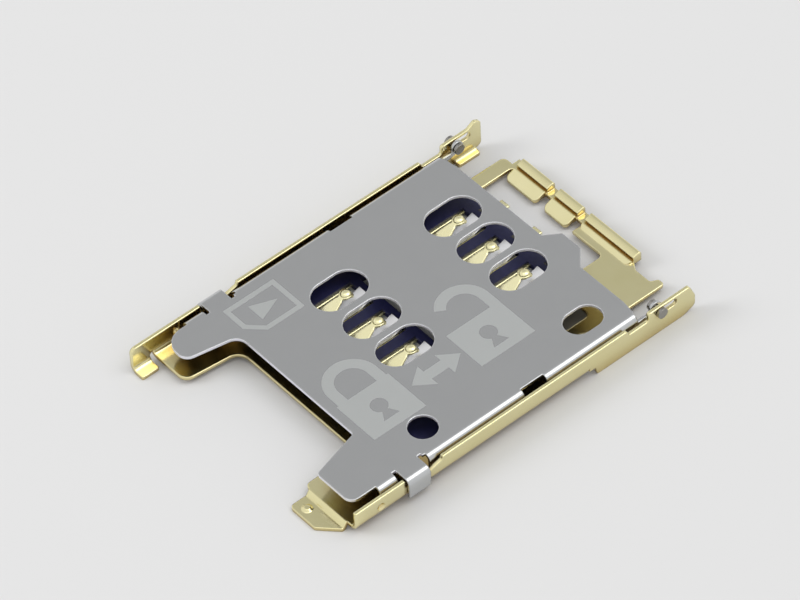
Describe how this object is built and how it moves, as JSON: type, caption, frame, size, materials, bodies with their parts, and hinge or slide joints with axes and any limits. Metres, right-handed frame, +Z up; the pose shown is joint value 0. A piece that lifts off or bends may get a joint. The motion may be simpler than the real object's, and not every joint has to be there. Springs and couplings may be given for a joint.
{
  "type": "sim card socket",
  "caption": "Low board-mounted card socket: gold-plated folded frame with spring contacts under a steel lid that slides to lock and swings up on hinge pins.",
  "frame": {"origin": "bottom centre of the socket's box, on the board", "axes": "+X from the card's mouth to the hinge, +Z up from the board, +Y to the left seen from the mouth"},
  "size_m": [0.024, 0.0166, 0.0021],
  "materials": {
    "gold_frame": "bright gold plating on a thin strip",
    "gold_contact": "bright gold plating",
    "carrier_plastic": "dark moulded plastic",
    "satin_steel": "satin rolled strip with lighter etched marks",
    "pin_steel": "dark turned steel"
  },
  "bodies": {
    "base": {"base_frame": "gold_frame", "contact_carrier": "carrier_plastic", "contact_c1": "gold_contact", "contact_c2": "gold_contact", "contact_c3": "gold_contact", "contact_c5": "gold_contact", "contact_c6": "gold_contact", "contact_c7": "gold_contact"},
    "pivot": {"hinge_pin_left": "pin_steel", "hinge_pin_right": "pin_steel"},
    "lid": {"cover": "satin_steel"}
  },
  "joints": [
    {"name": "lock_slide", "type": "slide", "parent": "base", "child": "pivot", "axis": [1, 0, 0], "range_m": [0, 0.0009]},
    {"name": "lid_hinge", "type": "hinge", "parent": "pivot", "child": "lid", "pos_m": [0.00955, 0, 0.00145], "axis": [0, 1, 0], "range_deg": [0, 105]}
  ]
}
